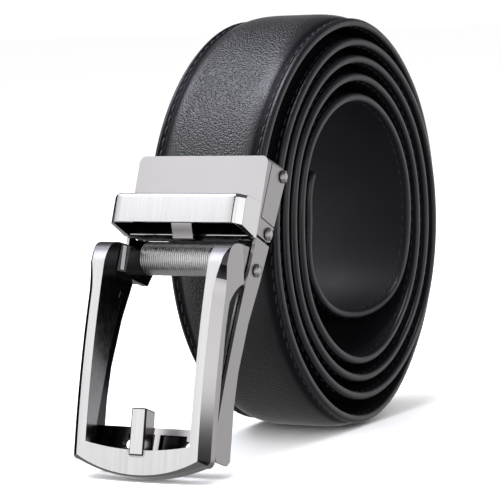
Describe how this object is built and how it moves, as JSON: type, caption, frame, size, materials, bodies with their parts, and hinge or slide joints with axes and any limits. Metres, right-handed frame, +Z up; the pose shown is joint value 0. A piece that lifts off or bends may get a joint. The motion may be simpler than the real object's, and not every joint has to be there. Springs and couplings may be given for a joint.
{
  "type": "ratchet belt",
  "caption": "Ratchet belt: padded leather strap wound in an upright coil, with a hinged metal clamp buckle, cover bar, grooved grip roller, false prong and open frame",
  "frame": {"origin": "middle of the flat stretch of strap on which the coil rests, on the floor", "axes": "+X along the coil's axis, across the strap; -Y to the front, where the buckle hangs; +Z up"},
  "size_m": [0.0453, 0.1505, 0.1185],
  "materials": {
    "leather": "black, fine grained, satin",
    "satin_metal": "satin nickel plate",
    "brushed_metal": "brushed nickel plate",
    "polished_metal": "polished nickel plate"
  },
  "bodies": {
    "belt": {"strap": "leather", "strap_clamp": "satin_metal", "cover_bar": "brushed_metal", "jaw_pin": "polished_metal", "hinge_pin": "polished_metal"},
    "jaw": {"clamp_jaw": "satin_metal"},
    "chassis": {"chassis": "satin_metal", "cam_pin": "polished_metal"},
    "frame": {"front_frame": "brushed_metal", "prong": "brushed_metal", "grip_roller": "brushed_metal"}
  },
  "joints": [
    {"name": "jaw_hinge", "type": "hinge", "parent": "belt", "child": "jaw", "pos_m": [0, -0.04845, 0.07593], "axis": [1, 0, 0], "range_deg": [0, 18]},
    {"name": "chassis_hinge", "type": "hinge", "parent": "belt", "child": "chassis", "pos_m": [0, -0.05769, 0.06133], "axis": [1, 0, 0], "range_deg": [0, 20]},
    {"name": "frame_hinge", "type": "hinge", "parent": "chassis", "child": "frame", "pos_m": [0, -0.06446, 0.05231], "axis": [-1, 0, 0], "range_deg": [0, 24]}
  ]
}
